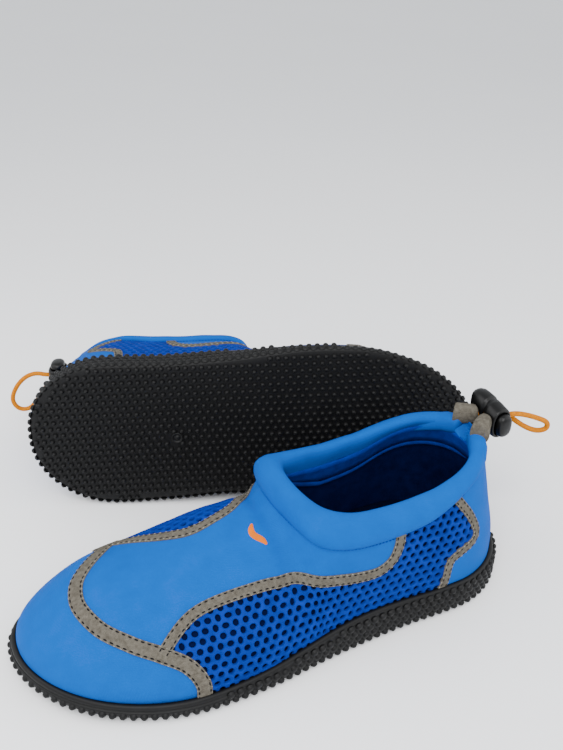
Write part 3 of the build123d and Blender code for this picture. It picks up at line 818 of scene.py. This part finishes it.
def tape(name, path, width, shoe, node):
    """A grey binding tape sewn down by two rows of stitches."""
    obj, path, across, way = ribbon(name, path, width, TAPE_HEIGHT, shoe, TAPE)
    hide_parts(f"{shoe}_{node}")
    run = run_of(path)
    at = np.arange(1.5, run[-1] - 1, STITCH_PITCH)
    dark, light = [], []
    for sign in (-1, 1):
        for out, shift, lift, chosen in ((width / 2 - 1.05, 0.0, 0.86, dark),
                                         (width / 2 - 0.35, STITCH_PITCH / 2, 0.7, light)):
            spots = onto(along_run(at + shift, run, path + across * sign * out), 3)
            ways = along_run(at + shift, run, way)
            tops = normals(spots)
            ways = unit(ways - tops * (ways * tops).sum(1)[:, None])
            chosen.append((spots + tops * lift, ways, tops))
    # the inner rows are dark dots of painted shade for the needle holes, the outer rows grey
    # thread
    for label, rows, finish, sizes in (("needle_hole_shade", dark, NEEDLE_SHADE_FINISH, NEEDLE_SHADE_DOT),
                                       ("thread", light, THREAD, THREAD_END)):
        spots, ways, tops = (np.vstack(part) for part in zip(*rows))
        points, faces = pads(spots, ways, tops, *sizes)
        made = piece(f"{name}_{label}", points, faces, shoe, finish)


# ================================================================ collar
HEEL_NOTCH, HEEL_NOTCH_HALF = 10.0, 9.5
FAR_SIDE = 99.0
FACING_DEPTH = 15
FLUSH = 0.6


def collar_ring(share, grow, drop=0.0, count=220):
    """One closed ring of the collar: a share of its height, and a distance out of the last."""
    def height(x, y):
        seam, top = smooth(COLLAR_SEAM, x), smooth(COLLAR_TOP, x)
        top = top - HEEL_NOTCH * np.clip(1 - np.abs(y) / HEEL_NOTCH_HALF, 0, 1) * (x < 40)
        fade = 1 - 0.85 * np.clip((x - 85) / 40, 0, 1)
        return seam + (top - seam) * share - drop * fade

    low, high = 60.0, 165.0
    for _ in range(40):
        mid = (low + high) / 2
        if crest(mid, grow) > height(np.array(mid), FAR_SIDE):
            low = mid
        else:
            high = mid
    angle = np.linspace(0, 2 * math.pi, count, endpoint=False)
    s = -grow + (low + grow) * (1 - np.cos(angle)) / 2
    side = np.where(np.sin(angle) >= 0, 1, -1)
    x, y = s + 10.0, np.full_like(s, FAR_SIDE)
    for _ in range(8):
        z = height(x, y)
        p = np.where((side > 0)[:, None], wall(s, z, 1, grow), wall(s, z, -1, grow))
        x, y = p[:, 0], p[:, 1]
    if grow > 0:
        flush = np.where((side > 0)[:, None], wall(s, z, 1, FLUSH), wall(s, z, -1, FLUSH))
        share = np.clip((x - 6) / 40, 0, 1)[:, None]
        p = p * share + flush * (1 - share)
    return p


def loft_rings(rings):
    """Points and quads of a skin through closed rings."""
    return np.vstack(rings), grid_faces(len(rings), len(rings[0]), True)


def collar(shoe):
    """The padded neoprene collar with its darker inner facing and overlocked edge."""
    shape = [(0, -1.5, 0.6), (0, -0.3, -0.3), (0, 0.9, -0.2), (0.04, 2.0, 0), (0.13, 3.0, 0),
             (0.28, 3.7, 0), (0.45, 3.9, 0), (0.62, 3.5, 0), (0.78, 2.4, 0), (0.9, 0.7, 0),
             (0.97, -1.3, 0), (1.0, -3.4, 0), (0.97, -5.7, 0), (0.87, -7.4, 0), (0.65, -8.5, 0),
             (0.4, -8.4, 0), (0.1, -7.7, 0)]
    rings = [collar_ring(share, grow, drop) for share, grow, drop in shape]
    points, faces = loft_rings(rings)
    pull = np.sin(points[:, 0] / 3.7 + 2 * noise(points, 9.0, 3)) * 0.16
    pull = (pull + 0.35 * noise(points, 11.0, 8)) * np.clip((points[:, 0] - 22) / 10, 0, 1)
    points = points + normals(points) * pull[:, None]
    faces = [face[::-1] for face in faces]
    obj = piece("collar_roll", points, faces, shoe, NEOPRENE)
    weld(obj)
    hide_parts(f"{shoe}_collar")
    crease = collar_ring(0, 0.0, 1.1, 240)
    crease = crease[crease[:, 0] > 40]
    outer, inner = crease[crease[:, 1] > 0], crease[crease[:, 1] <= 0]
    crease = np.vstack([outer[np.argsort(outer[:, 0])], inner[np.argsort(-inner[:, 0])]])
    crease = onto(dense(crease, 130))
    way = unit(np.gradient(crease, axis=0))
    tops = normals(crease)
    points, faces = pads(crease + tops * 0.25, way, tops, 1.5, 0.5, 0.3)
    stitches = piece("collar_stitches", points, faces, shoe, FACING)
    inner = [(0.12, -7.6, 0), (0, -6.4, 3), (0, -5.0, 9), (0, -4.2, FACING_DEPTH)]
    points, faces = loft_rings([collar_ring(share, grow, drop) for share, grow, drop in inner])
    facing = piece("collar_facing", points, [face[::-1] for face in faces], shoe, FACING)
    weld(facing)
    thicken(facing, CLOTH_THICKNESS, 1.0)
    edge = collar_ring(0, -4.0, FACING_DEPTH, 240)
    edge = dense(np.vstack([edge, edge[:1]]), 460)
    tops = -normals(edge)
    tilt = unit(np.gradient(edge, axis=0)) * 0.35 + np.array([0, 0, 1.0])
    tilt = unit(tilt - tops * (tilt * tops).sum(1)[:, None])
    points, faces = pads(edge + tops * 0.9, tilt, tops, 4.4, 1.0, 0.5)
    overlock = piece("overlock", points, faces, shoe, FACING)


SLEEVE_POWER = 0.85


def soft_tube(centres, sizes, count=32):
    """Rings of a soft flattened tube along a few centres; sizes are (half width, half height)."""
    way = np.gradient(np.array(centres, float), axis=0)
    angle = np.linspace(0, 2 * math.pi, count, endpoint=False)
    c, s = np.cos(angle), np.sin(angle)
    rings = []
    for centre, along, (wide, tall) in zip(centres, way, sizes):
        across = np.array([along[1], -along[0], 0]) / math.hypot(along[0], along[1])
        flat = (wide * np.sign(c) * np.abs(c) ** SLEEVE_POWER)[:, None] * across
        upright = np.outer(tall * np.sign(s) * np.abs(s) ** SLEEVE_POWER, (0, 0, 1))
        rings.append(np.array(centre) + flat + upright)
    points, faces = loft_rings(rings)
    first, last = tuple(range(count))[::-1], tuple(range(len(points) - count, len(points)))
    return points, faces + [first, last]


def sleeves(shoe):
    """The collar's two narrowed ends, and the grey tape sleeves over them beside the lock."""
    route = []
    for station in (24, 18, 13, 9, 5):
        top = smooth(COLLAR_TOP, station + forward(station, 82))
        sunk = 4.6 + 0.22 * max(station - 9, 0)
        route.append(wall(np.array(station), top - sunk, 1, -3.7))
    route.append((12.8, 9.1, 85.9))
    bodies = [(2.6, 3.0), (3.8, 4.4), (4.6, 5.2), (4.9, 5.6), (4.9, 5.7), (4.6, 5.6)]
    wrap = [(15.4, 11.7, 85.2), (15.2, 11.5, 85.25), (14.6, 10.9, 85.5), (11.4, 7.8, 86.5),
            (8.2, 5.6, 87), (6.2, 4.7, 87), (5.8, 4.6, 87)]
    girth = [(4.4, 5.2), (5.1, 6.1), (5.3, 6.3), (4.9, 5.9), (4.4, 5.5), (4.0, 5.1), (3.4, 4.5)]
    for label, sign in (("lateral", 1), ("medial", -1)):
        for name, line, sizes, finish, slot in (("horn", route, bodies, NEOPRENE, "neoprene"),
                                                ("sleeve", wrap, girth, TAPE, "grey_tape")):
            centres = np.array(line, float) * (1, sign, 1)
            points, faces = soft_tube(centres, sizes)
            points = points + (0, 0, 0.3) * noise(points, 4.0, 5)[:, None]
            obj = piece(f"collar_{name}_{label}", points, faces, shoe, finish)
            if name == "sleeve":
                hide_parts(f"{shoe}_collar_end_{label}")


# ================================================================ outsole
GATE, GATE_CLEAR = (84.0, -3.0), 4.6
SOLE_INSET = -1.0
SOLE_MIDDLE = 134
KNOB_PITCH, KNOB_ROWS, KNOB_RISE = 4.9, 4, 3.9
KNOB, STUD = (1.8, 1.35), (1.6, 1.85)
STUD_STEP, STUD_ROW = 4.7, 4.1


def perimeter(grow, count=720):
    """Plan points round the sole at a distance outside the last."""
    angle = np.linspace(0, 2 * math.pi, count, endpoint=False)
    s = -grow + (UPPER_LENGTH + 2 * grow) * (1 - np.cos(angle)) / 2
    side = np.where(np.sin(angle) >= 0, 1, -1)
    y = smooth(MIDDLE, s) + side * half_width(s, side, grow)
    return np.stack([s, y], -1)


def spring(x):
    return np.where(x > TOE_SPRING[0][0], smooth(TOE_SPRING, x), 0.0)


def studs(centres, normal, radius, height):
    """Rounded rubber knobs standing on a surface."""
    helper = np.where(np.abs(normal[:, 2:]) > 0.7, [[1.0, 0, 0]], [[0, 0, 1.0]])
    along = unit(np.cross(normal, helper))
    across = np.cross(normal, along)
    radius, height = np.broadcast_to(radius, len(centres)), np.broadcast_to(height, len(centres))
    rings = []
    profile = ((1.12, -0.15), (0.95, 0.2), (0.72, 0.75), (0.42, 0.98))
    for size, lift in profile:
        for k in range(STUD_SIDES):
            angle = 2 * math.pi * k / STUD_SIDES
            reach = (radius * size)[:, None]
            rings.append(centres + (along * math.cos(angle) + across * math.sin(angle)) * reach
                         + normal * (height * lift)[:, None])
    points = np.stack(rings, 1).reshape(-1, 3)
    return points, dome_faces(len(centres), len(profile), STUD_SIDES)


def outsole(shoe):
    """The rubber cupsole: a smooth lip, a knobbed sidewall and a studded bottom."""
    levels = [(-1.6, 1.0, -1.2), (0.0, 1.0, -0.1), (1.4, 1.0, 0.0), (2.5, 1.0, -0.7),
              (2.7, 1.0, -2.0), (2.5, 1.0, -3.0), (3.0, 0.62, 0.0), (3.3, 0.35, 0.0),
              (3.3, 0.12, 0.0), (2.6, 0.0, 0.1), (1.4, 0.0, -0.3), (-1.0, 0.0, -0.3)]
    rings = []
    for grow, share, lift in levels:
        plan = perimeter(grow)
        low = 2.1 + spring(plan[:, 0])
        high = smooth(SOLE_TOP, plan[:, 0])
        rings.append(np.column_stack([plan, low + (high - low) * share + lift]))
    for inset in (0.7, 0.35, 0.0):
        plan = perimeter(SOLE_INSET)
        centre = smooth(MIDDLE, plan[:, 0])
        plan = np.stack([plan[:, 0], centre + (plan[:, 1] - centre) * inset], -1)
        rings.append(np.column_stack([plan, 1.8 + spring(plan[:, 0])]))
    points, faces = loft_rings(rings)
    body = piece("outsole_body", points, faces, shoe, RUBBER)
    weld(body, 0.05)
    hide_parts(f"{shoe}_outsole")

    spots, ways, sizes, heights = [], [], [], []
    loop = perimeter(3.25)
    loop = np.vstack([loop, loop[:1]])
    run = run_of(loop)
    for row in range(KNOB_ROWS):
        at = np.arange(0, run[-1], run[-1] / round(run[-1] / KNOB_PITCH))
        at = at + (KNOB_PITCH / 2 if row % 2 else 0)
        x, y = along_run(at % run[-1], run, loop).T
        ahead = along_run((at + 0.5) % run[-1], run, loop).T
        way = unit(np.stack([-(ahead[1] - y), ahead[0] - x, np.zeros_like(x)], -1))
        outwards = (way[:, :2] * np.stack([x - SOLE_MIDDLE, y * 3], -1)).sum(1)
        way = np.where((outwards < 0)[:, None], -way, way)
        z = 3.0 + KNOB_RISE * row + spring(x)
        fits = z < smooth(SOLE_TOP, x) - 2.4
        if row == 0:
            fits[:] = True
        spots.append(np.stack([x, y, z], -1)[fits])
        ways.append(way[fits])
        sizes.append(np.full(fits.sum(), KNOB[0]))
        heights.append(np.full(fits.sum(), KNOB[1]))
    x, y = np.meshgrid(np.arange(0, UPPER_LENGTH, STUD_STEP), np.arange(-60, 60, STUD_ROW))
    x = x + np.where(np.arange(x.shape[0]) % 2, STUD_STEP / 2, 0)[:, None]
    plan = np.stack([x.ravel(), y.ravel()], -1)
    clear = np.hypot(plan[:, 0] - GATE[0], plan[:, 1] - GATE[1]) >= GATE_CLEAR
    plan = plan[within(perimeter(0.8), plan) & clear]
    spots.append(np.column_stack([plan, 1.85 + spring(plan[:, 0])]))
    ways.append(np.tile((0, 0, -1.0), (len(plan), 1)))
    sizes.append(np.full(len(plan), STUD[0]))
    heights.append(np.full(len(plan), STUD[1]))
    points, faces = studs(np.vstack(spots), np.vstack(ways), np.concatenate(sizes),
                          np.concatenate(heights))
    knobs = piece("outsole_studs", points, faces, shoe, RUBBER)

    rings = []
    angle = np.linspace(0, 2 * math.pi, 48, endpoint=False)
    for radius, z in ((3.6, 1.9), (3.4, 0.9), (2.8, 0.8), (2.5, 1.5), (1.4, 1.5), (1.1, 1.0),
                      (0.5, 0.9), (0.02, 0.9)):
        x, y = GATE[0] + radius * np.cos(angle), GATE[1] + radius * np.sin(angle)
        rings.append(np.stack([x, y, np.full_like(x, z)], -1))
    points, faces = loft_rings(rings)
    gate = piece("outsole_gate", points, [face[::-1] for face in faces], shoe, RUBBER)


# ================================================================ cord lock
LOCK_POWER = 0.8


def lock(shoe):
    """The spring cord lock: a bean-shaped housing with a waist groove, and its push button."""
    angle = np.linspace(0, 2 * math.pi, 56, endpoint=False)
    c, s = np.cos(angle), np.sin(angle)

    def ring(y, depth, height, raised):
        x = 0.92 * depth * np.sign(c) * np.abs(c) ** LOCK_POWER
        z = height * np.sign(s) * np.abs(s) ** LOCK_POWER
        return np.stack([-1.0 + x, np.full_like(x, y), STRAND_Z + raised + z], -1)

    housing = [(-14.6, 0.3, 0.3, 4.6), (-14.5, 2.0, 2.4, 4.6), (-13.9, 3.8, 4.6, 4.4),
               (-12.6, 5.1, 6.2, 4.0), (-10.2, 6.0, 7.6, 3.4), (-7.0, 6.4, 8.4, 2.6),
               (-2.6, 6.6, 9.0, 1.6), (-1.9, 6.5, 8.9, 1.4), (-1.5, 5.5, 7.9, 1.3),
               (-0.1, 5.5, 7.9, 0.9), (0.3, 6.6, 9.1, 0.8), (3.0, 6.8, 9.3, 0.2),
               (6.0, 6.9, 9.2, -0.4), (8.6, 6.8, 8.9, -0.6), (9.4, 6.5, 8.5, -0.6),
               (9.8, 5.9, 7.9, -0.6), (9.8, 5.5, 7.3, -0.6), (9.2, 5.3, 7.1, -0.6),
               (5.8, 5.2, 7.0, -0.6), (5.8, 0.1, 0.1, -0.6)]
    points, faces = loft_rings([ring(*row) for row in housing])
    faces = [face[::-1] for face in faces]
    body = piece("lock_housing", points, faces, shoe, PLASTIC, body="lock")
    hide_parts(f"{shoe}_lock_body")
    cap = [(9.2, 0.1, 0.1, -0.6), (9.2, 5.0, 6.8, -0.6), (11.6, 5.0, 6.8, -0.6),
           (12.9, 4.6, 6.3, -0.6), (13.8, 3.7, 5.2, -0.6), (14.2, 2.4, 3.5, -0.6),
           (14.3, 0.1, 0.1, -0.6)]
    points, faces = loft_rings([ring(*row) for row in cap])
    faces = [face[::-1] for face in faces]
    button = piece("lock_cap", points, faces, shoe, PLASTIC, body="button")
    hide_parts(f"{shoe}_lock_plunger")


# ================================================================ the pair
def mark(shoe):
    """A small plain wave printed on the instep."""
    share = np.linspace(0, 1, 40)
    x = 145.0 + 2.0 * np.sin(1.5 * math.pi * share)
    y = 7.0 + (share - 0.5) * 13.0
    obj, *_ = ribbon("wave_print", roof(x, y), 3.4, 0.3, shoe, PRINT, taper=0.75)
    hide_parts(f"{shoe}_instep_mark")


for shoe in ("left", "right"):
    cord_loop(shoe)
for shoe in ("left", "right"):
    solid_panels(shoe)
    air_mesh(shoe, 1)
    air_mesh(shoe, -1)
    lining(shoe)
    footbed(shoe, "insole", 12.0, -3.4, INSOLE)
    footbed(shoe, "lasting_sock", 8.5, -2.6, LINING)
    tape("tape_toe", plan_path(TOE_SEAM), TOE_TAPE, shoe, "toe_band")
    tape("tape_side_lateral", side_path(LATERAL_SEAM, 1), SIDE_TAPE, shoe, "side_band_lateral")
    back = side_path(MEDIAL_SEAM_SIDE, -1)
    front = plan_path(MEDIAL_SEAM_PLAN, ())
    joined = np.vstack([front[front[:, 0] > 138], back[back[:, 0] < 131]])
    tape("tape_side_medial", joined, SIDE_TAPE, shoe, "side_band_medial")
    tape("tape_heel_lateral", side_path(HEEL_SEAM, 1), HEEL_TAPE, shoe, "heel_band_lateral")
    tape("tape_heel_medial", side_path(HEEL_SEAM, -1), HEEL_TAPE, shoe, "heel_band_medial")
    collar(shoe)
    sleeves(shoe)
    outsole(shoe)
    mark(shoe)
    lock(shoe)
    for node, finish in (("elastic_cord", ELASTIC), ("lock_spring", STEEL)):
        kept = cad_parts[f"{shoe}_{node}"]
        kept.data.materials.clear()
        kept.data.materials.append(finish)

floor_mesh = bpy.data.meshes.new("floor")
floor_mesh.from_pydata([(-3, -3, 0), (3, -3, 0), (3, 3, 0), (-3, 3, 0)], [], [(0, 1, 2, 3)])
floor = bpy.data.objects.new("floor", floor_mesh)
bpy.context.scene.collection.objects.link(floor)
ground, tree, shader, spot = material("floor")
greys = [(0.0, (0.86, 0.86, 0.87)), (1.0, (0.9, 0.9, 0.91))]
tree.links.new(ramp(tree, noise_node(tree, spot, 3.0), greys), shader.inputs["Base Color"])
shader.inputs["Roughness"].default_value = 0.6
floor_mesh.materials.append(ground)

world = bpy.data.worlds.new("world")
world.use_nodes = True
sky = world.node_tree.nodes["Background"]
sky.inputs["Color"].default_value = (0.93, 0.96, 1.0, 1.0)
sky.inputs["Strength"].default_value = 1.25
bpy.context.scene.world = world
lamp("key light", (420, 520, 760), (130, 0, 40), 0.7, 11.0)
lamp("fill light", (-520, 300, 500), (130, 0, 40), 0.9, 5.0)
lamp("front light", (600, -200, 420), (130, -80, 30), 0.6, 3.0)
